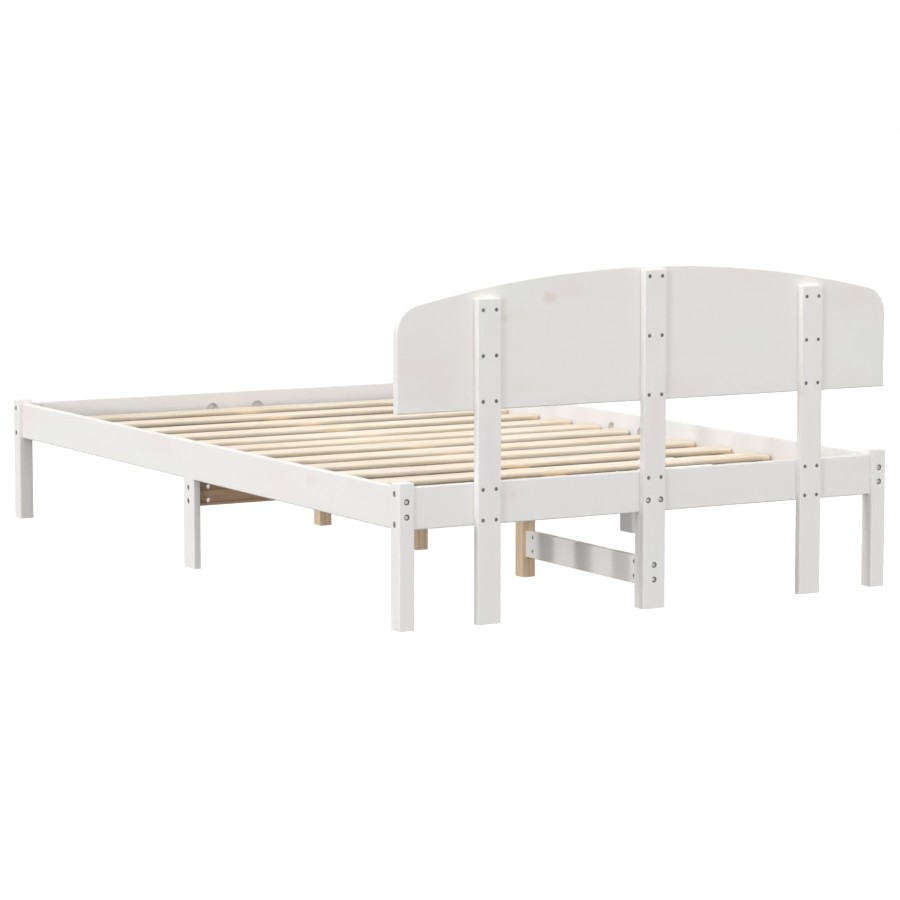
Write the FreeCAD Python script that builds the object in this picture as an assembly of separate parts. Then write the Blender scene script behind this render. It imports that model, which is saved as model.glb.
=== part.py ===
"""Knock-down bed frame with an arched headboard, for a 120 by 200 cm mattress, in millimetres.

+Y is the head end, +Z is up, and "left" is the +X side. The origin is on the floor, under the
middle of the frame. Half rails meet at a flat leg in the middle of each side and are drawn
together by a bolt between round recesses. Everything else is held by bolts with barrel nuts, or
by screws. Each separate piece is written to its own file in parts.
"""
import math
import os

import FreeCAD
import Part

V = FreeCAD.Vector
os.makedirs("parts", exist_ok=True)

# Frame
frame_width = 1255.0
frame_length = 2060.0
leg_side = 38.0
leg_height = 310.0
leg_edge_radius = 4.0
rail_thickness = 18.0
rail_height = 90.0
rail_top = 300.0
rail_inset = 10.0
board_edge_radius = 3.0
mid_leg_width = 57.0

# Support under the mattress
ledger_side = 27.0
slat_width = 70.0
slat_thickness = 12.0
slat_end_clearance = 7.0
slat_edge_radius = 4.0
slat_place_shares = [
    0.026, 0.110, 0.197, 0.277, 0.357, 0.427, 0.4925,
    0.568, 0.640, 0.7175, 0.797, 0.876, 0.953,
]
slat_seat_height = 247.0
beam_width = 57.0
beam_bolt_height = 237.5
centre_leg_side = 34.0
centre_leg_offset = 500.0
cross_beam_height = 57.0
cross_beam_bottom = 145.5
stretcher_height = 61.0
stretcher_bottom = 47.0
stretcher_bolt_height = 79.5
pine_edge_radius = 2.0

# Headboard
panel_inset = 1.5
panel_bottom = 452.5
panel_top = 742.0
panel_arch_radius = 2640.0
panel_shoulder_radius = 60.0
post_width = 57.0
post_inset = 212.0
side_post_height = 686.0
centre_post_height = 734.0

# Bolts and barrel nuts
bolt_radius = 3.0
bolt_head_radius = 6.0
bolt_head_height = 2.5
bolt_socket_radius = 2.3
bolt_socket_depth = 1.5
bolt_bore_clearance = 0.25
bolt_tip_clearance = 3.0
counterbore_radius = 6.5
counterbore_depth = 3.5
long_bolt_length = 70.0
short_bolt_length = 50.0
end_rail_bolt_spread = 32.0
side_rail_bolt_spread = 16.0
beam_bolt_spread = 16.0
nut_radius = 5.0
nut_length = 14.0
nut_slot_width = 1.4
nut_slot_depth = 1.2
nut_bore_clearance = 0.2
nut_distance = 30.0
thread_clearance = 0.1

# Splice joints in the middle of each side
recess_radius = 17.5
recess_depth = 13.5
recess_offset = 67.0
splice_axis_depth = 8.0
splice_bolt_length = 121.0
splice_washer_depth = 5.0
splice_washer_half_width = 11.0
splice_washer_height = 10.0
splice_washer_clearance = 0.2
splice_nut_flats = 10.0
splice_nut_height = 5.0
dowel_radius = 4.0
dowel_length = 27.0
dowel_end_clearance = 0.5
dowel_above_axis = 17.0
dowel_below_axis = 33.0

# Screws
post_screw_radius = 2.0
post_screw_head_radius = 3.5
post_screw_length = 32.0
post_screw_spread = 16.0
side_post_panel_heights = [663.4, 567.5, 471.6]
centre_post_panel_heights = [721.0, 593.4, 465.7]
post_rail_heights = [286.4, 221.6]
slat_screw_radius = 1.75
slat_screw_head_radius = 3.5
slat_screw_length = 25.0
slat_screw_spread = 16.0
ledger_screw_radius = 2.0
ledger_screw_head_radius = 4.0
ledger_screw_length = 40.0
ledger_screw_height = 228.0
ledger_screw_shares = [0.12, 0.37, 0.62, 0.87]
beam_screw_length = 60.0
beam_screw_spread = 10.0
screw_head_taper = 2.0
screw_clearance = 0.1

# A cut runs past the face it starts from by this much
overrun = 2.0

# Places worked out from the sizes above
leg_outer_x = frame_width / 2
leg_outer_y = frame_length / 2
leg_inner_x = leg_outer_x - leg_side
leg_inner_y = leg_outer_y - leg_side
rail_outer_x = leg_outer_x - rail_inset
rail_outer_y = leg_outer_y - rail_inset
rail_inner_x = rail_outer_x - rail_thickness
rail_inner_y = rail_outer_y - rail_thickness
rail_middle_x = (rail_outer_x + rail_inner_x) / 2
rail_middle_y = (rail_outer_y + rail_inner_y) / 2
rail_bottom = rail_top - rail_height
rail_middle_z = (rail_top + rail_bottom) / 2
mid_leg_half = mid_leg_width / 2
slat_length = 2 * (rail_inner_x - slat_end_clearance)
panel_half_width = leg_outer_x - panel_inset
post_offset = panel_half_width - post_inset
post_outer_y = rail_outer_y + rail_thickness
ledger_bottom = slat_seat_height - ledger_side
cross_beam_middle_z = cross_beam_bottom + cross_beam_height / 2
stretcher_inner_y = centre_leg_offset + centre_leg_side / 2
board_half = rail_thickness / 2

SIDES = [("left", 1), ("right", -1)]
ENDS = [("head", 1), ("foot", -1)]


def save(name, shape):
    shape.exportStep("parts/" + name + ".step")


def block(x_range, y_range, z_range):
    """Box between two places on each axis, given in either order."""
    low = V(min(x_range), min(y_range), min(z_range))
    high = V(max(x_range), max(y_range), max(z_range))
    size = high - low
    return Part.makeBox(size.x, size.y, size.z, low)


def rod(radius, start, direction, length):
    return Part.makeCylinder(radius, length, start, direction)


def rounded(shape, radius, chosen):
    """Shape with a radius on each straight edge whose direction and middle pass chosen."""
    edges = []
    for edge in shape.Edges:
        along = edge.tangentAt(edge.FirstParameter)
        if chosen(along, edge.CenterOfMass):
            edges.append(edge)
    return shape.makeFillet(radius, edges)


def along_x(along, middle):
    return abs(along.x) > 0.99


def along_y(along, middle):
    return abs(along.y) > 0.99


def along_z(along, middle):
    return abs(along.z) > 0.99


# Fasteners, each with the bore that its hole is cut with

def bolt(face_point, direction, length):
    """Socket bolt whose head sits sunk in a counterbore that starts at face_point."""
    head_start = face_point + direction * (counterbore_depth - bolt_head_height)
    head = rod(bolt_head_radius, head_start, direction, bolt_head_height)
    shank = rod(bolt_radius, face_point + direction * counterbore_depth, direction, length)
    socket = Part.Face(Part.makePolygon(hexagon(head_start, direction, bolt_socket_radius)))
    return head.fuse(shank).cut(socket.extrude(direction * bolt_socket_depth))


def bolt_bore(face_point, direction, length):
    outside = face_point - direction * overrun
    wide = rod(counterbore_radius, outside, direction, overrun + counterbore_depth)
    reach = overrun + counterbore_depth + length + bolt_tip_clearance
    return wide.fuse(rod(bolt_radius + bolt_bore_clearance, outside, direction, reach))


def hexagon(centre, normal, radius):
    """Closed ring of six corners round centre; a corner lies level with the centre."""
    level = normal.cross(V(0, 0, 1)) if abs(normal.z) < 0.5 else V(1, 0, 0)
    upright = normal.cross(level)
    ring = []
    for step in range(7):
        angle = step * math.pi / 3
        ring.append(centre + level * (radius * math.cos(angle)) + upright * (radius * math.sin(angle)))
    return ring


def barrel_nut(point, mouth, bolt_direction):
    """Round cross nut centred on the bolt's axis, slotted at the end that faces its bore's mouth."""
    start = point - mouth * (nut_length / 2)
    nut = rod(nut_radius, start, mouth, nut_length)
    thread_start = point - bolt_direction * (nut_radius + overrun)
    thread = rod(bolt_radius + thread_clearance, thread_start, bolt_direction,
                 2 * (nut_radius + overrun))
    slot_side = mouth.cross(bolt_direction)
    slot_corner = start + mouth * (nut_length - nut_slot_depth)
    slot_corner = slot_corner - slot_side * (nut_slot_width / 2)
    slot_corner = slot_corner - bolt_direction * (nut_radius + overrun)
    corners = [
        slot_corner,
        slot_corner + slot_side * nut_slot_width,
        slot_corner + slot_side * nut_slot_width + bolt_direction * (2 * (nut_radius + overrun)),
        slot_corner + bolt_direction * (2 * (nut_radius + overrun)),
        slot_corner,
    ]
    slot = Part.Face(Part.makePolygon(corners)).extrude(mouth * (nut_slot_depth + overrun))
    return nut.cut(thread).cut(slot)


def barrel_bore(point, mouth, depth):
    """Bore from its floor, under the nut, out through a mouth that is depth beyond point."""
    start = point - mouth * (nut_length / 2)
    reach = nut_length / 2 + depth + overrun
    return rod(nut_radius + nut_bore_clearance, start, mouth, reach)


def screw(face_point, direction, radius, head_radius, length):
    """Countersunk screw, flush with the face, with its tip narrowed."""
    head = Part.makeCone(head_radius, radius, screw_head_taper, face_point, direction)
    shank = rod(radius, face_point, direction, length)
    return head.fuse(shank)


def screw_bore(face_point, direction, radius, head_radius, length):
    wide = head_radius + screw_clearance
    narrow = radius + screw_clearance
    mouth = rod(wide, face_point - direction * overrun, direction, overrun)
    sink = Part.makeCone(wide, narrow, screw_head_taper, face_point, direction)
    hole = rod(narrow, face_point, direction, length + screw_clearance)
    return mouth.fuse(sink).fuse(hole)


# Corner joints: two bolts into the end rail and two into the side rail, at different heights

corner_bolts = []
barrel_nuts = []
corner_bores = []

for side_name, side in SIDES:
    for end_name, end in ENDS:
        for up in (1, -1):
            inward_x = V(-side, 0, 0)
            inward_y = V(0, -end, 0)

            end_rail_z = rail_middle_z + up * end_rail_bolt_spread
            start = V(side * leg_outer_x, end * rail_middle_y, end_rail_z)
            nut = V(side * (leg_inner_x - nut_distance), end * rail_middle_y, end_rail_z)
            corner_bolts.append(bolt(start, inward_x, long_bolt_length))
            corner_bores.append(bolt_bore(start, inward_x, long_bolt_length))
            barrel_nuts.append(barrel_nut(nut, inward_y, inward_x))
            corner_bores.append(barrel_bore(nut, inward_y, board_half))

            side_rail_z = rail_middle_z + up * side_rail_bolt_spread
            start = V(side * rail_middle_x, end * leg_outer_y, side_rail_z)
            nut = V(side * rail_middle_x, end * (leg_inner_y - nut_distance), side_rail_z)
            corner_bolts.append(bolt(start, inward_y, long_bolt_length))
            corner_bores.append(bolt_bore(start, inward_y, long_bolt_length))
            barrel_nuts.append(barrel_nut(nut, inward_x, inward_y))
            corner_bores.append(barrel_bore(nut, inward_x, board_half + ledger_side))


# Splice joints: half rails drawn together through the mid leg, between two round recesses

splice_bolts = []
splice_nuts = []
splice_washers = []
splice_dowels = []
splice_bores = []

splice_places = [
    (V(rail_inner_x, 0, rail_middle_z), V(0, 1, 0), V(-1, 0, 0)),
    (V(-rail_inner_x, 0, rail_middle_z), V(0, 1, 0), V(1, 0, 0)),
    (V(0, rail_inner_y, rail_middle_z), V(1, 0, 0), V(0, -1, 0)),
    (V(0, -rail_inner_y, rail_middle_z), V(1, 0, 0), V(0, 1, 0)),
]

for face_middle, along, inward in splice_places:
    axis_middle = face_middle - inward * splice_axis_depth
    bolt_start = axis_middle - along * (splice_bolt_length / 2)
    splice_bolts.append(rod(bolt_radius, bolt_start, along, splice_bolt_length))
    for way in (1, -1):
        outward = along * way
        recess_centre = face_middle + outward * recess_offset
        recess_start = recess_centre - inward * recess_depth
        recess_reach = recess_depth + ledger_side + overrun
        splice_bores.append(rod(recess_radius, recess_start, inward, recess_reach))
        bore_radius = bolt_radius + bolt_bore_clearance
        splice_bores.append(rod(bore_radius, axis_middle, outward, recess_offset))

        washer_radius = recess_radius - splice_washer_clearance
        washer_start = recess_centre - inward * (splice_axis_depth + splice_washer_height / 2)
        disc = rod(washer_radius, washer_start, inward, splice_washer_height)
        seat = recess_offset - recess_radius + splice_washer_depth
        corner = axis_middle + outward * seat - V(0, 0, splice_washer_half_width)
        corner = corner - inward * (splice_washer_height / 2)
        ring = [
            corner,
            corner + inward * splice_washer_height,
            corner + inward * splice_washer_height + V(0, 0, 2 * splice_washer_half_width),
            corner + V(0, 0, 2 * splice_washer_half_width),
            corner,
        ]
        slab = Part.Face(Part.makePolygon(ring)).extrude(outward * -recess_radius)
        hole = rod(bore_radius, axis_middle, outward, recess_offset)
        splice_washers.append(disc.common(slab).cut(hole))

        nut_start = axis_middle + outward * seat
        corner_radius = splice_nut_flats / math.sqrt(3)
        nut_face = Part.Face(Part.makePolygon(hexagon(nut_start, outward, corner_radius)))
        body = nut_face.extrude(outward * splice_nut_height)
        thread = rod(bolt_radius + thread_clearance, axis_middle, outward, recess_offset)
        splice_nuts.append(body.cut(thread))

        joint_middle = face_middle - inward * board_half + outward * mid_leg_half
        for drop in (dowel_above_axis, -dowel_below_axis):
            dowel_start = joint_middle - outward * (dowel_length / 2) + V(0, 0, drop)
            splice_dowels.append(rod(dowel_radius, dowel_start, outward, dowel_length))
            hole_start = dowel_start - outward * dowel_end_clearance
            hole_length = dowel_length + 2 * dowel_end_clearance
            splice_bores.append(rod(dowel_radius, hole_start, outward, hole_length))


# Bolts of the centre beam, the cross beam and the low stretchers

beam_bolts = []
beam_bores = []
cross_beam_bolts = []
cross_beam_bores = []
stretcher_bolts = []
stretcher_bores = []

down = V(0, 0, -1)
stack_lengths = {"head": long_bolt_length, "foot": short_bolt_length}
stack_faces = {"head": post_outer_y, "foot": rail_outer_y}

for end_name, end in ENDS:
    inward = V(0, -end, 0)
    face_y = end * stack_faces[end_name]
    length = stack_lengths[end_name]
    for way in (1, -1):
        start = V(way * beam_bolt_spread, face_y, beam_bolt_height)
        nut = V(way * beam_bolt_spread, end * (rail_inner_y - nut_distance), beam_bolt_height)
        beam_bolts.append(bolt(start, inward, length))
        beam_bores.append(bolt_bore(start, inward, length))
        barrel_nuts.append(barrel_nut(nut, down, inward))
        beam_bores.append(barrel_bore(nut, down, beam_bolt_height - ledger_bottom))

        stretcher_z = stretcher_bolt_height + way * beam_bolt_spread
        start = V(0, face_y, stretcher_z)
        nut = V(0, end * (rail_inner_y - nut_distance), stretcher_z)
        stretcher_bolts.append(bolt(start, inward, length))
        stretcher_bores.append(bolt_bore(start, inward, length))
        barrel_nuts.append(barrel_nut(nut, V(1, 0, 0), inward))
        stretcher_bores.append(barrel_bore(nut, V(1, 0, 0), board_half))

        outward = V(0, end, 0)
        start = V(0, end * (centre_leg_offset - centre_leg_side / 2), stretcher_z)
        nut = V(0, end * (stretcher_inner_y + nut_distance), stretcher_z)
        stretcher_bolts.append(bolt(start, outward, long_bolt_length))
        stretcher_bores.append(bolt_bore(start, outward, long_bolt_length))
        barrel_nuts.append(barrel_nut(nut, V(1, 0, 0), outward))
        stretcher_bores.append(barrel_bore(nut, V(1, 0, 0), board_half))

for side_name, side in SIDES:
    inward = V(-side, 0, 0)
    for way in (1, -1):
        height = cross_beam_middle_z + way * beam_bolt_spread
        start = V(side * rail_outer_x, 0, height)
        nut = V(side * (rail_inner_x - nut_distance), 0, height)
        cross_beam_bolts.append(bolt(start, inward, short_bolt_length))
        cross_beam_bores.append(bolt_bore(start, inward, short_bolt_length))
        barrel_nuts.append(barrel_nut(nut, V(0, 1, 0), inward))
        cross_beam_bores.append(barrel_bore(nut, V(0, 1, 0), board_half))


# Screws through the posts

post_screws = []
post_bores = []


def add_post_screws(post_x, heights):
    for height in heights:
        for way in (1, -1):
            start = V(post_x + way * post_screw_spread, post_outer_y, height)
            sizes = (post_screw_radius, post_screw_head_radius, post_screw_length)
            post_screws.append(screw(start, V(0, -1, 0), *sizes))
            post_bores.append(screw_bore(start, V(0, -1, 0), *sizes))


for side_name, side in SIDES:
    add_post_screws(side * post_offset, side_post_panel_heights + post_rail_heights)
add_post_screws(0, centre_post_panel_heights + post_rail_heights[:1])


# Screws of the slats, the ledgers and the centre beam

clear_length = 2 * rail_inner_y
slat_places = [share * clear_length - rail_inner_y for share in slat_place_shares]
slat_top = slat_seat_height + slat_thickness
ledger_middle_x = rail_inner_x - ledger_side / 2

slat_screws = []
slat_bores = []
slat_screw_sizes = (slat_screw_radius, slat_screw_head_radius, slat_screw_length)
slat_screw_columns = [-ledger_middle_x, -slat_screw_spread, slat_screw_spread, ledger_middle_x]
for place in slat_places:
    row = []
    for column in slat_screw_columns:
        start = V(column, place, slat_top)
        slat_screws.append(screw(start, down, *slat_screw_sizes))
        row.append(screw_bore(start, down, *slat_screw_sizes))
    slat_bores.append(row)
all_slat_bores = [bore for row in slat_bores for bore in row]

ledger_screws = []
ledger_bores = []
ledger_screw_sizes = (ledger_screw_radius, ledger_screw_head_radius, ledger_screw_length)
ledger_length = leg_inner_y - mid_leg_half
for side_name, side in SIDES:
    for end_name, end in ENDS:
        for share in ledger_screw_shares:
            place = end * (mid_leg_half + share * ledger_length)
            start = V(side * (rail_inner_x - ledger_side), place, ledger_screw_height)
            ledger_screws.append(screw(start, V(side, 0, 0), *ledger_screw_sizes))
            ledger_bores.append(screw_bore(start, V(side, 0, 0), *ledger_screw_sizes))

slot_half = board_half
ear_middle = (centre_leg_side / 2 + slot_half) / 2
beam_screw_places = [-centre_leg_offset, -ear_middle, ear_middle, centre_leg_offset]
beam_screws = []
beam_screw_bores = []
beam_screw_sizes = (ledger_screw_radius, ledger_screw_head_radius, beam_screw_length)
for place in beam_screw_places:
    for way in (1, -1):
        start = V(way * beam_screw_spread, place, slat_seat_height)
        beam_screws.append(screw(start, down, *beam_screw_sizes))
        beam_screw_bores.append(screw_bore(start, down, *beam_screw_sizes))


# Corner legs

def corner_leg(side, end):
    leg = block(
        (side * leg_inner_x, side * leg_outer_x),
        (end * leg_inner_y, end * leg_outer_y),
        (0, leg_height),
    )
    leg = rounded(leg, leg_edge_radius, along_z)
    top_edges = [edge for edge in leg.Edges if edge.BoundBox.ZMin > leg_height - overrun]
    return leg.makeFillet(leg_edge_radius / 2, top_edges)


for side_name, side in SIDES:
    for end_name, end in ENDS:
        leg = corner_leg(side, end).cut(Part.makeCompound(corner_bores))
        save("leg_" + end_name + "_" + side_name, leg)


# Half rails

for side_name, side in SIDES:
    for end_name, end in ENDS:
        rail = block(
            (side * rail_inner_x, side * rail_outer_x),
            (end * mid_leg_half, end * leg_inner_y),
            (rail_bottom, rail_top),
        )
        rail = rounded(rail, board_edge_radius, along_y)
        rail = rail.cut(Part.makeCompound(corner_bores + splice_bores + ledger_bores))
        save("side_rail_" + side_name + "_" + end_name, rail)

for end_name, end in ENDS:
    for side_name, side in SIDES:
        rail = block(
            (side * mid_leg_half, side * leg_inner_x),
            (end * rail_inner_y, end * rail_outer_y),
            (rail_bottom, rail_top),
        )
        rail = rounded(rail, board_edge_radius, along_x)
        rail = rail.cut(Part.makeCompound(corner_bores + splice_bores + post_bores))
        save(end_name + "_rail_" + side_name, rail)


# Mid legs: square-edged where the half rails meet them, rounded below

def mid_leg(x_range, y_range, top_edges_run):
    upper = block(x_range, y_range, (rail_bottom, rail_top))
    upper = rounded(
        upper,
        board_edge_radius,
        lambda along, middle: top_edges_run(along, middle) and middle.z > rail_middle_z,
    )
    lower = rounded(block(x_range, y_range, (0, rail_bottom)), board_edge_radius, along_z)
    return upper.fuse(lower).removeSplitter()


for side_name, side in SIDES:
    leg = mid_leg(
        (side * rail_inner_x, side * rail_outer_x),
        (-mid_leg_half, mid_leg_half),
        along_y,
    )
    save("mid_leg_" + side_name, leg.cut(Part.makeCompound(splice_bores + cross_beam_bores)))

for end_name, end in ENDS:
    leg = mid_leg(
        (-mid_leg_half, mid_leg_half),
        (end * rail_inner_y, end * rail_outer_y),
        along_x,
    )
    bores = splice_bores + beam_bores + stretcher_bores + post_bores
    save("mid_leg_" + end_name, leg.cut(Part.makeCompound(bores)))


# Ledgers, with the splice recess and the lower barrel nut's bore passing through them

for side_name, side in SIDES:
    for end_name, end in ENDS:
        ledger = block(
            (side * rail_inner_x, side * (rail_inner_x - ledger_side)),
            (end * mid_leg_half, end * leg_inner_y),
            (ledger_bottom, slat_seat_height),
        )
        bores = corner_bores + splice_bores + ledger_bores + all_slat_bores
        save("ledger_" + side_name + "_" + end_name, ledger.cut(Part.makeCompound(bores)))


# Centre beam, its legs, the cross beam and the stretchers

for end_name, end in ENDS:
    beam = block(
        (-beam_width / 2, beam_width / 2),
        (0, end * rail_inner_y),
        (ledger_bottom, slat_seat_height),
    )
    beam = rounded(beam, pine_edge_radius, along_y)
    bores = beam_bores + all_slat_bores + beam_screw_bores
    save("centre_beam_" + end_name, beam.cut(Part.makeCompound(bores)))


def centre_leg(place):
    half = centre_leg_side / 2
    leg = block((-half, half), (place - half, place + half), (0, ledger_bottom))
    leg = rounded(leg, pine_edge_radius, along_z)
    return leg.cut(Part.makeCompound(beam_screw_bores + stretcher_bores))


save("centre_leg_head", centre_leg(centre_leg_offset))
save("centre_leg_foot", centre_leg(-centre_leg_offset))

bridle = block(
    (-centre_leg_side, centre_leg_side),
    (-slot_half, slot_half),
    (cross_beam_bottom, slat_seat_height),
)
save("centre_leg_middle", centre_leg(0).cut(bridle))

cross_beam = block(
    (-rail_inner_x, rail_inner_x),
    (-board_half, board_half),
    (cross_beam_bottom, cross_beam_bottom + cross_beam_height),
)
save("cross_beam", cross_beam.cut(Part.makeCompound(cross_beam_bores)))

for end_name, end in ENDS:
    stretcher = block(
        (-board_half, board_half),
        (end * stretcher_inner_y, end * rail_inner_y),
        (stretcher_bottom, stretcher_bottom + stretcher_height),
    )
    stretcher = rounded(stretcher, pine_edge_radius, along_y)
    save("stretcher_" + end_name, stretcher.cut(Part.makeCompound(stretcher_bores)))


# Slats, numbered from the foot end

for number, place in enumerate(slat_places, start=1):
    slat = block(
        (-slat_length / 2, slat_length / 2),
        (place - slat_width / 2, place + slat_width / 2),
        (slat_seat_height, slat_top),
    )
    slat = rounded(slat, slat_edge_radius, along_x)
    save("slat_%02d" % number, slat.cut(Part.makeCompound(slat_bores[number - 1])))


# Headboard posts

def post(post_x, height, bores):
    half = post_width / 2
    board = block((post_x - half, post_x + half), (rail_outer_y, post_outer_y), (0, height))
    board = rounded(board, board_edge_radius, along_z)
    top_edges = [edge for edge in board.Edges if edge.BoundBox.ZMin > height - overrun]
    return board.makeFillet(board_edge_radius / 2, top_edges).cut(Part.makeCompound(bores))


for side_name, side in SIDES:
    save("post_" + side_name, post(side * post_offset, side_post_height, post_bores))
save("post_centre", post(0, centre_post_height, post_bores + beam_bores + stretcher_bores))


# Headboard panel: one wide arch that turns into round shoulders and straight sides

arch_centre_z = panel_top - panel_arch_radius
shoulder_x = panel_half_width - panel_shoulder_radius
shoulder_distance = panel_arch_radius - panel_shoulder_radius
shoulder_z = arch_centre_z + math.sqrt(shoulder_distance ** 2 - shoulder_x ** 2)
meeting_x = shoulder_x * panel_arch_radius / shoulder_distance
meeting_z = arch_centre_z + (shoulder_z - arch_centre_z) * panel_arch_radius / shoulder_distance
half_turn_x = shoulder_x + panel_shoulder_radius * math.cos(math.pi / 5)
half_turn_z = shoulder_z + panel_shoulder_radius * math.sin(math.pi / 5)


def at(x, z):
    return V(x, rail_inner_y, z)


outline = Part.Wire([
    Part.makeLine(at(-panel_half_width, panel_bottom), at(panel_half_width, panel_bottom)),
    Part.makeLine(at(panel_half_width, panel_bottom), at(panel_half_width, shoulder_z)),
    Part.Arc(at(panel_half_width, shoulder_z), at(half_turn_x, half_turn_z),
             at(meeting_x, meeting_z)).toShape(),
    Part.Arc(at(meeting_x, meeting_z), at(0, panel_top), at(-meeting_x, meeting_z)).toShape(),
    Part.Arc(at(-meeting_x, meeting_z), at(-half_turn_x, half_turn_z),
             at(-panel_half_width, shoulder_z)).toShape(),
    Part.makeLine(at(-panel_half_width, shoulder_z), at(-panel_half_width, panel_bottom)),
])
panel = Part.Face(outline).extrude(V(0, rail_thickness, 0))
face_edges = [edge for edge in panel.Edges if edge.BoundBox.YLength < overrun]
panel = panel.makeFillet(board_edge_radius, face_edges)
save("headboard_panel", panel.cut(Part.makeCompound(post_bores)))


# Fasteners, one file for each kind

fasteners = {
    "corner_bolts": corner_bolts,
    "barrel_nuts": barrel_nuts,
    "splice_bolts": splice_bolts,
    "splice_nuts": splice_nuts,
    "splice_washers": splice_washers,
    "splice_dowels": splice_dowels,
    "beam_bolts": beam_bolts,
    "cross_beam_bolts": cross_beam_bolts,
    "stretcher_bolts": stretcher_bolts,
    "post_screws": post_screws,
    "slat_screws": slat_screws,
    "ledger_screws": ledger_screws,
    "beam_screws": beam_screws,
}
for name, solids in fasteners.items():
    save(name, Part.makeCompound(solids))
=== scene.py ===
"""Knock-down pine bed frame with a white arched headboard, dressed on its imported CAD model.

Everything is in metres in the CAD frame: +Y is the head end, +Z is up, and the side called left
is +X. The camera stands behind the headboard, on the left, and looks at its back.
"""
import math

import bpy
import numpy as np
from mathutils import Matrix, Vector


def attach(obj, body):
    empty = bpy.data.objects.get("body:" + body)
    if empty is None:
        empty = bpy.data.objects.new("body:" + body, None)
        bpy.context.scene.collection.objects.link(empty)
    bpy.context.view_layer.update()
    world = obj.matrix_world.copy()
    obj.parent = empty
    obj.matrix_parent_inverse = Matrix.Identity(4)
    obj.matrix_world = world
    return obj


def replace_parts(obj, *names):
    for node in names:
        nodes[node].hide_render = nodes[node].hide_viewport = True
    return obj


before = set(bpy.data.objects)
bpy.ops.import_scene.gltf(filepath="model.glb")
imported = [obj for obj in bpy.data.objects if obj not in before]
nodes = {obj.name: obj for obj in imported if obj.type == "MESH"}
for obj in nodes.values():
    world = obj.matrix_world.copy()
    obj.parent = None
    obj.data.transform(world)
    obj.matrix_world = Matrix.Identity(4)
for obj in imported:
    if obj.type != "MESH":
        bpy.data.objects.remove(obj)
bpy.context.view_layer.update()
scene = bpy.context.scene
scene.view_settings.view_transform = "Standard"


# Camera.
# A long lens behind the head end, a little above mattress height. Its place and aim were fitted
# to the photo's straight edges.

camera_place = (3.9609, 7.0282, 1.1709)
camera_aim = (-0.0061, 0.1422, 0.2562)
camera_lens = 133.91
camera_sensor = 36.0
camera_reach = 200.0

camera = bpy.data.objects.new("camera", bpy.data.cameras.new("camera"))
camera.data.sensor_width = camera_sensor
camera.data.lens = camera_lens
camera.data.clip_end = camera_reach
camera.location = camera_place
view_line = Vector(camera_aim) - Vector(camera_place)
camera.rotation_euler = view_line.to_track_quat("-Z", "Y").to_euler()
scene.collection.objects.link(camera)
scene.camera = camera


# White painted boards: legs, rails, posts, panel and low stretchers.
# Solid pine under a thin satin white paint. The grain is just felt through it, and knots and
# resin leave weak pink, yellow and green clouds. The boards are bolted and screwed together.

def colour(red, green, blue):
    """Linear colour for a tone given as 8-bit display values."""
    tones = np.array([red, green, blue]) / 255
    linear = np.where(tones <= 0.04045, tones / 12.92, ((tones + 0.055) / 1.055) ** 2.4)
    return (float(linear[0]), float(linear[1]), float(linear[2]), 1.0)


def grey(level):
    """Linear grey of a level, for ramps whose output is used as an amount."""
    return (level, level, level, 1.0)


def add(tree, kind, values=None, **settings):
    """New node of a kind, with its settings, and its input sockets set by name."""
    made = tree.nodes.new(kind)
    for name, value in settings.items():
        setattr(made, name, value)
    for name, value in (values or {}).items():
        made.inputs[name].default_value = value
    return made


def join(tree, out_node, out_name, in_node, in_name):
    """Link from one node's output to another's input, each given by name or number."""
    tree.links.new(out_node.outputs[out_name], in_node.inputs[in_name])


def ramp(tree, source, stops):
    """Colour ramp fed by source; stops are pairs of place and colour."""
    made = tree.nodes.new("ShaderNodeValToRGB")
    elements = made.color_ramp.elements
    while len(elements) < len(stops):
        elements.new(0.5)
    for element, (place, tone) in zip(elements, stops):
        element.position = place
        element.color = tone
    tree.links.new(source, made.inputs["Fac"])
    return made


def feed(tree, socket, value):
    """Gives an input socket another node's output or a plain value."""
    if isinstance(value, bpy.types.NodeSocket):
        tree.links.new(value, socket)
    else:
        socket.default_value = value


def blend(tree, kind, amount, first, second):
    """Mix of two colours; amount, first and second are sockets or plain values.

    The node has sockets for numbers, vectors and colours: the factor is its input 0, the colours
    are 6 and 7, and the mixed colour is output 2.
    """
    made = add(tree, "ShaderNodeMix", data_type="RGBA", blend_type=kind)
    feed(tree, made.inputs[0], amount)
    feed(tree, made.inputs[6], first)
    feed(tree, made.inputs[7], second)
    return made.outputs[2]


def grain_space(tree, along, stretch, shift):
    """Object coordinates squeezed along the grain's axis, so that noise there turns to streaks."""
    place = tree.nodes.new("ShaderNodeTexCoord")
    scale = [1.0, 1.0, 1.0]
    scale["xyz".index(along)] = stretch
    mapping = add(tree, "ShaderNodeMapping", {"Location": shift, "Scale": scale})
    join(tree, place, "Object", mapping, "Vector")
    return mapping


def noise(tree, space, scale, detail=2.0, rough=0.5, distortion=0.0):
    """Noise texture read in a space that grain_space made."""
    made = add(tree, "ShaderNodeTexNoise", {
        "Scale": scale, "Detail": detail, "Roughness": rough, "Distortion": distortion})
    join(tree, space, "Vector", made, "Vector")
    return made


def node_points(name):
    """Points of a CAD node's mesh as an array of rows."""
    mesh = nodes[name].data
    points = np.empty(len(mesh.vertices) * 3)
    mesh.vertices.foreach_get("co", points)
    return points.reshape(-1, 3)


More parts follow.
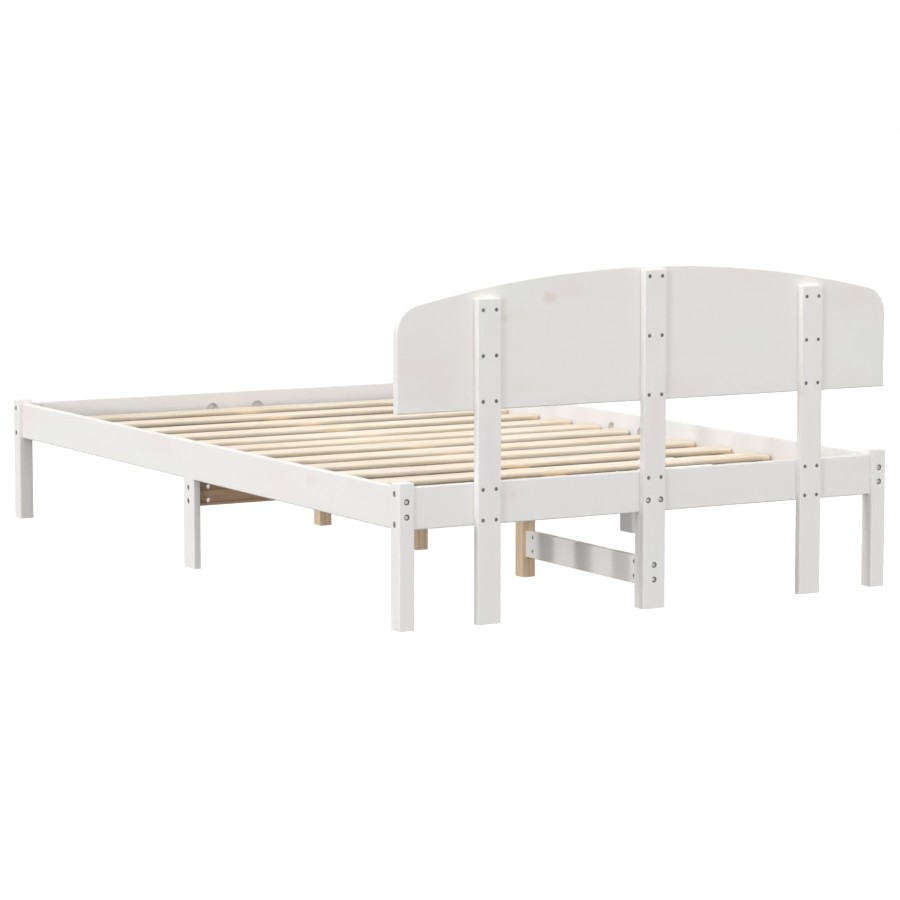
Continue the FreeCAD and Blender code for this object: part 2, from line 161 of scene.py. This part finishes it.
def depths(tree, name):
    """Distance from a point in to the nearest side of the node's box, on each axis."""
    points = node_points(name)
    low, high = points.min(axis=0), points.max(axis=0)
    place = tree.nodes.new("ShaderNodeTexCoord")
    centred = add(tree, "ShaderNodeVectorMath", {1: tuple((low + high) / 2)}, operation="SUBTRACT")
    join(tree, place, "Object", centred, 0)
    from_middle = add(tree, "ShaderNodeVectorMath", operation="ABSOLUTE")
    join(tree, centred, 0, from_middle, 0)
    inward = add(tree, "ShaderNodeVectorMath", {0: tuple((high - low) / 2)}, operation="SUBTRACT")
    join(tree, from_middle, 0, inward, 1)
    parts = tree.nodes.new("ShaderNodeSeparateXYZ")
    join(tree, inward, 0, parts, 0)
    return parts


def place_parts(tree):
    """Object coordinates split into X, Y and Z."""
    place = tree.nodes.new("ShaderNodeTexCoord")
    parts = tree.nodes.new("ShaderNodeSeparateXYZ")
    join(tree, place, "Object", parts, 0)
    return parts


def compare(tree, kind, first, second):
    """Math node of a kind on two values; each is a socket or a plain number."""
    made = add(tree, "ShaderNodeMath", operation=kind)
    feed(tree, made.inputs[0], first)
    feed(tree, made.inputs[1], second)
    return made.outputs[0]


def grain_shift(number, step, start=(0.0, 0.0, 0.0)):
    """Place in the noise for a board's number, so that no two boards share their grain."""
    return tuple(first + number * part for first, part in zip(start, step))


BLACK = grey(0.0)
WHITE = grey(1.0)
PAINT = colour(238, 236, 234)
PAINT_PINK = colour(238, 231, 230)
PAINT_GREEN = colour(234, 236, 231)
PAINT_MAUVE = colour(234, 228, 233)
PAINT_ROSE = colour(238, 226, 224)
PAINT_SAND = colour(238, 231, 221)
PAINT_KNOT = colour(224, 208, 196)
PAINT_WORN = colour(236, 226, 208)
PAINT_STREAK = (0.993, 0.992, 0.991, 1.0)
INNER_FACE_SHADE = colour(240, 241, 244)
SHADED_RAW_WOOD = colour(112, 98, 84)

paint_roughness = 0.5
paint_ior = 1.45
paint_gloss = 0.3
paint_bump = 0.12
paint_bump_height = 0.0006
cloud_squeeze = 0.35
pink_scale = 7.0
green_scale = 6.0
green_offset = (31.0, 17.0, 5.0)
paint_knot_squeeze = 0.55
paint_knot_scale = 3.2
paint_knot_strength = 0.3
paint_streak_squeeze = 0.03
paint_streak_scale = 160.0
rubbed_squeeze = 0.3
rubbed_scale = 45.0
rubbed_strength = 0.6
worn_edge = 0.0035
inner_shade_depth = 0.002
bare_shade_depth = 0.0013
mark_rim_scale = 40.0
mark_full = 0.7
mark_gone = 1.5
painted_step = (3.7, 1.9, 2.3)

# Knots and stains that show through: middle, reach on each axis, tone, and how much of it
marks = {
    "headboard_panel": [
        ((0.531, 1.02, 0.510), (0.10, 0.05, 0.06), PAINT_ROSE, 0.38),
        ((0.215, 1.02, 0.700), (0.09, 0.05, 0.03), PAINT_ROSE, 0.38),
        ((0.256, 1.02, 0.680), (0.022, 0.05, 0.017), PAINT_KNOT, 0.47),
        ((0.262, 1.02, 0.690), (0.008, 0.05, 0.008), PAINT_KNOT, 0.45),
        ((0.365, 1.02, 0.646), (0.018, 0.05, 0.014), PAINT_KNOT, 0.38),
        ((0.330, 1.02, 0.650), (0.07, 0.05, 0.02), PAINT_SAND, 0.28),
        ((0.310, 1.02, 0.494), (0.08, 0.05, 0.035), PAINT_SAND, 0.32),
        ((0.435, 1.02, 0.698), (0.035, 0.05, 0.02), PAINT_SAND, 0.36),
        ((-0.562, 1.02, 0.658), (0.03, 0.05, 0.03), PAINT_SAND, 0.32),
    ],
    "side_rail_left_head": [
        ((0.617, 0.615, 0.274), (0.05, 0.045, 0.024), PAINT_ROSE, 0.38),
        ((0.617, 0.612, 0.276), (0.05, 0.014, 0.010), PAINT_KNOT, 0.25),
    ],
    "head_rail_left": [
        ((0.349, 1.02, 0.270), (0.045, 0.05, 0.026), PAINT_ROSE, 0.38),
        ((0.347, 1.02, 0.271), (0.014, 0.05, 0.010), PAINT_KNOT, 0.25),
    ],
    "head_rail_right": [
        ((-0.563, 1.02, 0.275), (0.05, 0.05, 0.03), PAINT_ROSE, 0.38),
    ],
    "post_left": [
        ((0.414, 1.038, 0.37), (0.04, 0.05, 0.12), PAINT_MAUVE, 0.48),
        ((0.414, 1.038, 0.62), (0.02, 0.05, 0.03), PAINT_SAND, 0.24),
    ],
    "post_centre": [
        ((0.0, 1.038, 0.432), (0.03, 0.05, 0.05), PAINT_ROSE, 0.34),
        ((0.0, 1.038, 0.10), (0.04, 0.05, 0.12), PAINT_GREEN, 0.45),
    ],
}


def mark(tree, base, middle, reach, tone, amount):
    """Soft patch of tone on base: full at middle, gone at reach, with an uneven rim."""
    place = tree.nodes.new("ShaderNodeTexCoord")
    centred = add(tree, "ShaderNodeVectorMath", {1: middle}, operation="SUBTRACT")
    join(tree, place, "Object", centred, 0)
    scaled = add(tree, "ShaderNodeVectorMath", {1: reach}, operation="DIVIDE")
    join(tree, centred, 0, scaled, 0)
    away = add(tree, "ShaderNodeVectorMath", operation="LENGTH")
    join(tree, scaled, 0, away, 0)
    rim = add(tree, "ShaderNodeTexNoise", {"Scale": mark_rim_scale, "Detail": 2.0})
    join(tree, place, "Object", rim, "Vector")
    uneven = compare(tree, "ADD", away.outputs["Value"], rim.outputs["Fac"])
    fade = add(tree, "ShaderNodeMapRange", {
        "From Min": mark_gone, "From Max": mark_full, "To Min": 0.0, "To Max": amount})
    tree.links.new(uneven, fade.inputs["Value"])
    return blend(tree, "MIX", fade.outputs["Result"], base, tone)


def white_paint(node, along, shift):
    """Satin white over pine: clouds, knots, faint streaks, rubbed edges and bare bores with painted
    shade.

    An edge is where the second smallest of the depths on the three axes is small. A bore is where
    all three depths are more than a board's outer face can have.
    """
    material = bpy.data.materials.new("paint_" + node)
    material.use_nodes = True
    tree = material.node_tree
    shader = tree.nodes["Principled BSDF"]
    shader.inputs["Roughness"].default_value = paint_roughness
    shader.inputs["IOR"].default_value = paint_ior
    shader.inputs["Specular IOR Level"].default_value = paint_gloss

    clouds = grain_space(tree, along, cloud_squeeze, shift)
    pink = ramp(tree, noise(tree, clouds, pink_scale).outputs["Fac"], [
        (0.52, BLACK), (0.72, WHITE)])
    other_clouds = grain_space(tree, along, cloud_squeeze, grain_shift(1, green_offset, shift))
    green = ramp(tree, noise(tree, other_clouds, green_scale).outputs["Fac"], [
        (0.52, BLACK), (0.75, WHITE)])
    base = blend(tree, "MIX", pink.outputs["Color"], PAINT, PAINT_PINK)
    base = blend(tree, "MIX", green.outputs["Color"], base, PAINT_GREEN)

    if node in marks:
        for middle, reach, tone, amount in marks[node]:
            base = mark(tree, base, middle, reach, tone, amount)
    else:
        knot_space = grain_space(tree, along, paint_knot_squeeze, shift)
        knots = add(tree, "ShaderNodeTexVoronoi", {"Scale": paint_knot_scale, "Randomness": 1.0})
        join(tree, knot_space, "Vector", knots, "Vector")
        knot = ramp(tree, knots.outputs["Distance"], [
            (0.03, grey(paint_knot_strength)), (0.12, BLACK)])
        base = blend(tree, "MIX", knot.outputs["Color"], base, PAINT_KNOT)

    streak_space = grain_space(tree, along, paint_streak_squeeze, shift)
    streaks = noise(tree, streak_space, paint_streak_scale, detail=3.0, rough=0.6, distortion=0.2)
    streak = ramp(tree, streaks.outputs["Fac"], [(0.3, PAINT_STREAK), (0.6, WHITE)])
    base = blend(tree, "MULTIPLY", 1.0, base, streak.outputs["Color"])

    inward = depths(tree, node)
    smaller = compare(tree, "MINIMUM", inward.outputs["X"], inward.outputs["Y"])
    larger = compare(tree, "MAXIMUM", inward.outputs["X"], inward.outputs["Y"])
    nearest = compare(tree, "MINIMUM", smaller, inward.outputs["Z"])
    rest = compare(tree, "MINIMUM", larger, inward.outputs["Z"])
    second_nearest = compare(tree, "MAXIMUM", smaller, rest)
    edge = add(tree, "ShaderNodeMapRange", {"From Min": worn_edge, "From Max": 0.0})
    tree.links.new(second_nearest, edge.inputs["Value"])
    rubbed_space = grain_space(tree, along, rubbed_squeeze, shift)
    rubbed_noise = noise(tree, rubbed_space, rubbed_scale, detail=4.0, rough=0.6)
    rubbed = ramp(tree, rubbed_noise.outputs["Fac"], [
        (0.5, BLACK), (0.68, grey(rubbed_strength))])
    worn = compare(tree, "MULTIPLY", edge.outputs["Result"], rubbed.outputs["Color"])
    base = blend(tree, "MIX", worn, base, PAINT_WORN)

    # Painted shade: the inner faces of the rails and mid legs, towards the slats, are made a little
    # darker and cooler.
    if "rail" in node or node.startswith("mid_leg"):
        across = 0 if node.startswith(("side", "mid_leg_left", "mid_leg_right")) else 1
        middle_line = float(node_points(node)[:, across].mean())
        kind = "LESS_THAN" if middle_line > 0 else "GREATER_THAN"
        inner_half = compare(tree, kind, place_parts(tree).outputs[across], middle_line)
        at_side = compare(tree, "LESS_THAN", inward.outputs[across], inner_shade_depth)
        shaded_inner_side = compare(tree, "MULTIPLY", inner_half, at_side)
        base = blend(tree, "MULTIPLY", shaded_inner_side, base, INNER_FACE_SHADE)
    # Inside the bores and counterbores the wood is bare, and its tone is darkened with painted
    # shade for the shadow in the holes.
    if node.startswith(("leg", "mid_leg", "post", "stretcher")):
        bare_and_shaded = compare(tree, "GREATER_THAN", nearest, bare_shade_depth)
        base = blend(tree, "MIX", bare_and_shaded, base, SHADED_RAW_WOOD)
    tree.links.new(base, shader.inputs["Base Color"])

    bump = add(tree, "ShaderNodeBump", {"Strength": paint_bump, "Distance": paint_bump_height})
    join(tree, streaks, "Fac", bump, "Height")
    join(tree, bump, "Normal", shader, "Normal")
    return material


def dress(name, material):
    """Gives a CAD node its finish; the mesh is left as it is."""
    nodes[name].data.materials.clear()
    nodes[name].data.materials.append(material)


painted_boards = [
    ("leg_head_left", "z"), ("leg_head_right", "z"), ("leg_foot_left", "z"),
    ("leg_foot_right", "z"), ("side_rail_left_head", "y"), ("side_rail_left_foot", "y"),
    ("side_rail_right_head", "y"), ("side_rail_right_foot", "y"), ("head_rail_left", "x"),
    ("head_rail_right", "x"), ("foot_rail_left", "x"), ("foot_rail_right", "x"),
    ("mid_leg_left", "z"), ("mid_leg_right", "z"), ("mid_leg_head", "z"), ("mid_leg_foot", "z"),
    ("post_left", "z"), ("post_centre", "z"), ("post_right", "z"), ("headboard_panel", "x"),
    ("stretcher_head", "y"), ("stretcher_foot", "y"),
]
for number, (name, along) in enumerate(painted_boards):
    dress(name, white_paint(name, along, grain_shift(number, painted_step)))


# Natural pine: slats, ledgers, centre beam and its legs, cross beam and dowels.
# Planed and left bare, screwed, bolted or pegged in place. Pale cream with fine honey lines along
# the grain and a few small knots. The boards below the slats are deeper in tone, and the cross
# beam is darker still with painted shade.

PINE_LIGHT = colour(248, 238, 222)
PINE_LINE = colour(236, 218, 189)
PINE_KNOT = colour(178, 128, 88)
PINE_BROAD = (0.93, 0.91, 0.87, 1.0)
SLAT_GAP_SHADE = colour(240, 236, 230)
LEG_LIGHT = colour(240, 216, 188)
LEG_LINE = colour(222, 190, 156)
CROSS_SHADED_PALE = colour(192, 162, 135)
CROSS_SHADED_LINE = colour(156, 124, 97)

pine_roughness = 0.62
pine_ior = 1.4
pine_bump = 0.25
pine_bump_height = 0.0004
line_squeeze = 0.02
line_scale = 190.0
broad_squeeze = 0.12
broad_scale = 22.0
pine_knot_squeeze = 0.6
pine_knot_scale = 4.0
pine_knot_strength = 0.7
gap_shade_depth = 0.0012
gap_shade_height = 0.006
slat_step = (2.9, 1.3, 0.7)
pine_step = (1.7, 2.1, 3.1)
pine_start = (0.0, 9.0, 0.0)
cross_shift = (15.3, 27.9, 27.9)
dowel_shift = (5.0, 5.0, 5.0)


def bare_pine(node, along, shift, light, line):
    """Bare pine: growth lines from stretched noise, broad tone changes, and small knots.

    A slat's two long sides are darker up to a height: painted shade for the gaps between the slats.
    """
    material = bpy.data.materials.new("pine_" + node)
    material.use_nodes = True
    tree = material.node_tree
    shader = tree.nodes["Principled BSDF"]
    shader.inputs["Roughness"].default_value = pine_roughness
    shader.inputs["IOR"].default_value = pine_ior

    fine_space = grain_space(tree, along, line_squeeze, shift)
    fine = noise(tree, fine_space, line_scale, detail=3.0, rough=0.6, distortion=0.3)
    lines = ramp(tree, fine.outputs["Fac"], [(0.42, WHITE), (0.66, BLACK)])
    base = blend(tree, "MIX", lines.outputs["Color"], line, light)

    broad_space = grain_space(tree, along, broad_squeeze, shift)
    broad = ramp(tree, noise(tree, broad_space, broad_scale).outputs["Fac"], [
        (0.35, PINE_BROAD), (0.6, WHITE)])
    base = blend(tree, "MULTIPLY", 1.0, base, broad.outputs["Color"])

    knot_space = grain_space(tree, along, pine_knot_squeeze, shift)
    knots = add(tree, "ShaderNodeTexVoronoi", {"Scale": pine_knot_scale, "Randomness": 1.0})
    join(tree, knot_space, "Vector", knots, "Vector")
    knot = ramp(tree, knots.outputs["Distance"], [
        (0.02, grey(pine_knot_strength)), (0.055, BLACK)])
    base = blend(tree, "MIX", knot.outputs["Color"], base, PINE_KNOT)

    # Painted shade: the lower part of each slat's long sides is darkened where the gaps between
    # slats lie in shade.
    if node.startswith("slat"):
        at_side = compare(tree, "LESS_THAN", depths(tree, node).outputs["Y"], gap_shade_depth)
        gap_shade_top = float(node_points(node)[:, 2].min()) + gap_shade_height
        low_down = compare(tree, "LESS_THAN", place_parts(tree).outputs["Z"], gap_shade_top)
        gap_shade = compare(tree, "MULTIPLY", at_side, low_down)
        base = blend(tree, "MULTIPLY", gap_shade, base, SLAT_GAP_SHADE)
    tree.links.new(base, shader.inputs["Base Color"])

    bump = add(tree, "ShaderNodeBump", {"Strength": pine_bump, "Distance": pine_bump_height})
    join(tree, fine, "Fac", bump, "Height")
    join(tree, bump, "Normal", shader, "Normal")
    return material


slat_names = sorted(name for name in nodes if name.startswith("slat_") and name != "slat_screws")
for number, name in enumerate(slat_names):
    dress(name, bare_pine(name, "x", grain_shift(number, slat_step), PINE_LIGHT, PINE_LINE))

pine_boards = [
    ("ledger_left_head", "y"), ("ledger_left_foot", "y"), ("ledger_right_head", "y"),
    ("ledger_right_foot", "y"), ("centre_beam_head", "y"), ("centre_beam_foot", "y"),
    ("centre_leg_head", "z"), ("centre_leg_middle", "z"), ("centre_leg_foot", "z"),
]
for number, (name, along) in enumerate(pine_boards):
    shift = grain_shift(number, pine_step, pine_start)
    dress(name, bare_pine(name, along, shift, LEG_LIGHT, LEG_LINE))

# The cross beam's pine tones are darkened with painted shade, as if it lay in the shadow under the
# slats.
dress("cross_beam", bare_pine("cross_beam", "x", cross_shift, CROSS_SHADED_PALE, CROSS_SHADED_LINE))
dress("splice_dowels", bare_pine("splice_dowels", "z", dowel_shift, LEG_LIGHT, LEG_LINE))


# Barrel nuts, and the splice bolts with their nuts and half-round washers.
# Turned and stamped steel, zinc plated, in the bores and recesses of the rails. The plating is
# slightly uneven.

plating_scale = 600.0
plating_dark = 0.82
plating_rough_spread = 0.08


def steel(name, tone, roughness):
    """Metal of a tone and roughness, both a little uneven over small patches."""
    material = bpy.data.materials.new(name)
    material.use_nodes = True
    tree = material.node_tree
    shader = tree.nodes["Principled BSDF"]
    shader.inputs["Metallic"].default_value = 1.0
    place = tree.nodes.new("ShaderNodeTexCoord")
    patches = add(tree, "ShaderNodeTexNoise", {"Scale": plating_scale, "Detail": 2.0})
    join(tree, place, "Object", patches, "Vector")
    dark_tone = tuple(plating_dark * part for part in tone[:3]) + (1.0,)
    shade = ramp(tree, patches.outputs["Fac"], [(0.3, dark_tone), (0.7, tone)])
    join(tree, shade, "Color", shader, "Base Color")
    rough = add(tree, "ShaderNodeMapRange", {
        "To Min": roughness - plating_rough_spread, "To Max": roughness + plating_rough_spread})
    join(tree, patches, "Fac", rough, "Value")
    join(tree, rough, "Result", shader, "Roughness")
    return material


zinc = steel("zinc_plated_steel", colour(226, 227, 228), 0.27)
for name in ("barrel_nuts", "splice_bolts", "splice_nuts", "splice_washers"):
    dress(name, zinc)


# Socket bolts that hold the corners, the centre beam, the cross beam and the stretchers.
# Bright zinc plated steel with a low domed head and a hexagon socket, drawn down in a counterbore
# that is wider than the head.

upwards = np.array([0.0, 0.0, 1.0])
headwards = np.array([0.0, 1.0, 0.0])
leftwards = np.array([1.0, 0.0, 0.0])
ring_points = 24
turn_angles = np.radians(360 // ring_points * np.arange(ring_points))
circle = np.stack([np.cos(turn_angles), np.sin(turn_angles)], axis=1)
sharp_angle = math.radians(32)
same_plane = 1e-5
bolt_gather = 0.014
socket_radius = 0.0023
socket_depth = 0.0017
socket_edge = 0.0001
bolt_dome = [(0.0034, -0.0001), (0.0044, -0.0005), (0.0049, -0.0011), (0.0051, -0.0020)]
bolt_head_radius = 0.0051
bolt_seat = 0.0025
bolt_radius = 0.0030
bolt_tip_radius = 0.0022
bolt_chamfer = 0.001
bolt_zinc = steel("zinc_plated_bolts", colour(188, 188, 186), 0.16)


def ringed(rings):
    """Rings of points, each given in its own plane and with its height, as one array."""
    return np.concatenate([
        np.column_stack([ring, np.full(ring_points, height)]) for ring, height in rings])


def head_middles(points, facing, gather):
    """Middles of the heads on the outermost plane towards facing, each gathered within a width."""
    heights = points @ facing
    rims = points[heights > heights.max() - same_plane]
    middles = []
    while len(rims):
        near = np.linalg.norm(rims - rims[0], axis=1) < gather
        middles.append((rims[near].min(axis=0) + rims[near].max(axis=0)) / 2)
        rims = rims[~near]
    return np.array(middles)


def set_in(name, rows, material, seed):
    """One object for a group of fasteners; rows are places, the way they face, and the shape.

    Each copy of a shape is turned about its axis at random. Its rings are joined by quads, and
    the first and the last ring are closed by a flat face.
    """
    turns = np.random.default_rng(seed)
    column = np.arange(ring_points)
    after = np.roll(column, -1)
    points = []
    faces = []
    start = 0
    for middles, facing, shape in rows:
        steps = np.arange(len(shape) // ring_points - 1)[:, None] * ring_points
        quads = np.stack([
            steps + column, steps + ring_points + column,
            steps + ring_points + after, steps + after], axis=-1).reshape(-1, 4)
        level = leftwards if facing[2] else upwards
        other = np.cross(facing, level)
        for middle in middles:
            turn = turns.uniform(0, 2 * math.pi)
            first = level * math.cos(turn) + other * math.sin(turn)
            second = np.cross(facing, first)
            points.append(middle + shape @ np.array([first, second, facing]))
            faces += (quads + start).tolist()
            faces.append((column + start).tolist())
            faces.append((start + len(shape) - 1 - column).tolist())
            start += len(shape)
    mesh = bpy.data.meshes.new(name)
    mesh.from_pydata(np.concatenate(points).tolist(), [], faces)
    mesh.polygons.foreach_set("use_smooth", np.ones(len(mesh.polygons), bool))
    mesh.set_sharp_from_angle(angle=sharp_angle)
    mesh.materials.append(material)
    made = bpy.data.objects.new(name, mesh)
    scene.collection.objects.link(made)
    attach(made, "root")
    return made


def bolt_shape(length):
    """Bolt with its head's crown at the origin and its point towards -Z, from socket to tip.

    The socket's rings follow a hexagon, whose sides are divided in four, and the rest are circles
    on the profile of a dome, a shank and a short chamfer.
    """
    corners = np.array([(math.cos(turn), math.sin(turn)) for turn in np.radians(60 * np.arange(6))])
    after = np.roll(corners, -1, axis=0)
    shares = np.arange(4)[:, None, None] / 4
    hexagon = (corners * (1 - shares) + after * shares).transpose(1, 0, 2).reshape(-1, 2)
    return ringed([
        (0.96 * socket_radius * hexagon, -socket_depth),
        (socket_radius * hexagon, -socket_edge),
        (1.06 * socket_radius * hexagon, 0.0),
        *((radius * circle, height) for radius, height in bolt_dome),
        (bolt_head_radius * circle, -bolt_seat),
        (bolt_radius * circle, -bolt_seat),
        (bolt_radius * circle, bolt_chamfer - bolt_seat - length),
        (bolt_tip_radius * circle, -bolt_seat - length),
    ])


long_bolt = bolt_shape(length=0.07)
short_bolt = bolt_shape(length=0.05)

corner_points = node_points("corner_bolts")
corner_rows = []
for facing in (leftwards, -leftwards, headwards, -headwards):
    corner_rows.append((head_middles(corner_points, facing, bolt_gather), facing, long_bolt))
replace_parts(set_in("bolts_in_corners", corner_rows, bolt_zinc, 11), "corner_bolts")

beam_points = node_points("beam_bolts")
beam_rows = [
    (head_middles(beam_points, headwards, bolt_gather), headwards, long_bolt),
    (head_middles(beam_points, -headwards, bolt_gather), -headwards, short_bolt),
]
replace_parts(set_in("bolts_in_beam_ends", beam_rows, bolt_zinc, 12), "beam_bolts")

cross_points = node_points("cross_beam_bolts")
cross_rows = []
for facing in (leftwards, -leftwards):
    cross_rows.append((head_middles(cross_points, facing, bolt_gather), facing, short_bolt))
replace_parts(set_in("bolts_in_cross_beam", cross_rows, bolt_zinc, 13), "cross_beam_bolts")

inner_reach = 0.7
stretcher_points = node_points("stretcher_bolts")
inner_points = stretcher_points[abs(stretcher_points[:, 1]) < inner_reach]
stretcher_rows = [
    (head_middles(stretcher_points, headwards, bolt_gather), headwards, long_bolt),
    (head_middles(stretcher_points, -headwards, bolt_gather), -headwards, short_bolt),
]
for end in (1, -1):
    own = inner_points[inner_points[:, 1] * end > 0]
    facing = -end * headwards
    stretcher_rows.append((head_middles(own, facing, bolt_gather), facing, long_bolt))
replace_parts(set_in("bolts_in_stretchers", stretcher_rows, bolt_zinc, 14),
            "stretcher_bolts")


# Screws through the posts and slats, and in the ledgers and the centre beam.
# Dull steel screws with a cross recess, each stopped at its own turn. Those in the posts have low
# domed heads on the face, and the others are countersunk and driven a little below it.

recess_arm = 0.00055
recess_reach = 0.00205
recess_depth = 0.0018
screw_taper = 0.002
screw_tip = 0.004
screw_sunk = 0.0006
rim_drop = 0.0002
rim_width = 0.0003
dull_steel = steel("dull_steel", colour(126, 124, 120), 0.3)


def screw_shape(head_radius, shank_radius, length, sunk=screw_sunk, crown=0.0):
    """Screw with its CAD head's face at the origin and its point towards -Z, from recess to tip.

    The recess's rings follow a cross, with points at its twelve corners and midway between them,
    and the rest are circles on the profile of a dome, a cone, a shank and a point. The head lies
    sunk under the face, and its dome is crown high.
    """
    arm, reach = recess_arm, recess_reach
    quarters = [np.array([(reach, -arm), (reach, arm), (arm, arm)])]
    for _ in range(3):
        quarters.append(quarters[-1] @ np.array([(0, 1), (-1, 0)]))
    corners = np.concatenate(quarters)
    cross = np.stack([corners, (corners + np.roll(corners, -1, axis=0)) / 2], axis=1)
    cross = cross.reshape(-1, 2)
    round_ring = np.roll(circle, 1, axis=0)
    sunk_radius = head_radius - sunk * (head_radius - shank_radius) / screw_taper
    return ringed([
        (0.65 * cross, -recess_depth),
        (cross, crown - sunk - rim_drop),
        (1.08 * cross, crown - sunk),
        (0.8 * sunk_radius * round_ring, 0.6 * crown - sunk),
        ((sunk_radius - rim_width) * round_ring, 0.2 * crown - sunk),
        (sunk_radius * round_ring, -sunk - rim_drop),
        (shank_radius * round_ring, -screw_taper),
        (shank_radius * round_ring, screw_tip - length),
        (0.2 * shank_radius * round_ring, -length),
    ])


screw_gather = 0.01
post_middles = head_middles(node_points("post_screws"), headwards, screw_gather)
post_screw = screw_shape(
    head_radius=0.0044, shank_radius=0.002, length=0.032, sunk=0.0, crown=0.001)
post_rows = [(post_middles, headwards, post_screw)]
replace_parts(set_in("screws_in_posts", post_rows, dull_steel, 21), "post_screws")

slat_middles = head_middles(node_points("slat_screws"), upwards, screw_gather)
slat_screw = screw_shape(head_radius=0.0035, shank_radius=0.00175, length=0.025)
slat_rows = [(slat_middles, upwards, slat_screw)]
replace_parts(set_in("screws_in_slats", slat_rows, dull_steel, 22), "slat_screws")

ledger_points = node_points("ledger_screws")
ledger_screw = screw_shape(head_radius=0.004, shank_radius=0.002, length=0.04)
ledger_rows = []
for side in (1, -1):
    facing = -side * leftwards
    own = ledger_points[ledger_points[:, 0] * side > 0]
    ledger_rows.append((head_middles(own, facing, screw_gather), facing, ledger_screw))
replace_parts(set_in("screws_in_ledgers", ledger_rows, dull_steel, 23), "ledger_screws")

beam_middles = head_middles(node_points("beam_screws"), upwards, screw_gather)
beam_screw = screw_shape(head_radius=0.004, shank_radius=0.002, length=0.06)
beam_screw_rows = [(beam_middles, upwards, beam_screw)]
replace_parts(set_in("screws_in_beam", beam_screw_rows, dull_steel, 24), "beam_screws")


# Floor.
# A plain white floor that keeps a faint shadow under the legs and fades into the background. It
# throws little light back up.

floor_half = 40.0
floor_bounce = 0.04
floor_shaded = 0.25
floor_glow = 0.97


def background_ray(tree):
    """Output that is 1 for the rays that show the background, and 0 for those that light things."""
    rays = tree.nodes.new("ShaderNodeLightPath")
    seen_first = add(tree, "ShaderNodeMath", operation="MAXIMUM")
    seen_any = add(tree, "ShaderNodeMath", operation="MAXIMUM")
    tree.links.new(rays.outputs["Is Camera Ray"], seen_first.inputs[0])
    tree.links.new(rays.outputs["Is Glossy Ray"], seen_first.inputs[1])
    tree.links.new(seen_first.outputs[0], seen_any.inputs[0])
    tree.links.new(rays.outputs["Is Transmission Ray"], seen_any.inputs[1])
    return seen_any.outputs[0]


corners = np.array([(-1, -1, 0), (1, -1, 0), (1, 1, 0), (-1, 1, 0)], float) * floor_half
floor_mesh = bpy.data.meshes.new("floor")
floor_mesh.from_pydata(corners.tolist(), [], [(0, 1, 2, 3)])
floor = bpy.data.objects.new("floor", floor_mesh)
scene.collection.objects.link(floor)

floor_material = bpy.data.materials.new("floor")
floor_material.use_nodes = True
tree = floor_material.node_tree
tree.nodes.remove(tree.nodes["Principled BSDF"])
surface = tree.nodes["Material Output"]
matt = add(tree, "ShaderNodeBsdfDiffuse", {"Color": grey(floor_bounce)})
pale = add(tree, "ShaderNodeBsdfDiffuse", {"Color": grey(floor_shaded)})
lift = add(tree, "ShaderNodeEmission", {"Color": WHITE, "Strength": floor_glow})
seen = tree.nodes.new("ShaderNodeAddShader")
pick = tree.nodes.new("ShaderNodeMixShader")
tree.links.new(pale.outputs[0], seen.inputs[0])
tree.links.new(lift.outputs[0], seen.inputs[1])
tree.links.new(background_ray(tree), pick.inputs[0])
tree.links.new(matt.outputs[0], pick.inputs[1])
tree.links.new(seen.outputs[0], pick.inputs[2])
tree.links.new(pick.outputs[0], surface.inputs["Surface"])
floor_mesh.materials.append(floor_material)


# Light.
# A white studio: light from all round that is strong near the horizon and fades upwards, a key
# lamp on the left that falls between the slats and bands the low stretcher, low lamps at the head
# end and its left corner, one overhead, and a weak one low down from the far corner.

sky_strength = 1.92
sky_overhead = 0.5
sky_fade_from = 0.1
sky_fade_to = 0.7
background_strength = 1.0
world = bpy.data.worlds.new("studio")
scene.world = world
world.use_nodes = True
tree = world.node_tree
background = tree.nodes["Background"]
background.inputs["Color"].default_value = WHITE
strength = add(tree, "ShaderNodeMapRange", {"To Max": background_strength})
tree.links.new(background_ray(tree), strength.inputs["Value"])
towards_sky = tree.nodes.new("ShaderNodeTexCoord")
parts = tree.nodes.new("ShaderNodeSeparateXYZ")
fade = add(tree, "ShaderNodeMapRange", {
    "From Min": sky_fade_from, "From Max": sky_fade_to,
    "To Min": sky_strength, "To Max": sky_overhead})
tree.links.new(towards_sky.outputs["Generated"], parts.inputs[0])
tree.links.new(parts.outputs["Z"], fade.inputs["Value"])
tree.links.new(fade.outputs["Result"], strength.inputs["To Min"])
tree.links.new(strength.outputs["Result"], background.inputs["Strength"])

# name, turn from +X towards +Y, height above the horizon, width in degrees, strength
lamps = [
    ("lamp_left_key", -2.5, 35.0, 5.0, 0.8),
    ("lamp_corner_low", 34.5, 5.0, 2.5, 0.4),
    ("lamp_head_low", 90.0, 8.0, 3.0, 0.24),
    ("lamp_head_wide", 60.0, 10.0, 40.0, 0.2),
    ("lamp_top", 60.0, 80.0, 40.0, 0.37),
    ("lamp_far_fill", 225.0, 12.0, 40.0, 0.25),
]
for name, turn, height, width, power in lamps:
    lamp = bpy.data.lights.new(name, "SUN")
    lamp.energy = power
    lamp.angle = math.radians(width)
    turn, height = math.radians(turn), math.radians(height)
    towards = Vector((
        math.cos(turn) * math.cos(height), math.sin(turn) * math.cos(height), math.sin(height)))
    holder = bpy.data.objects.new(name, lamp)
    holder.rotation_euler = (-towards).to_track_quat("-Z", "Y").to_euler()
    scene.collection.objects.link(holder)
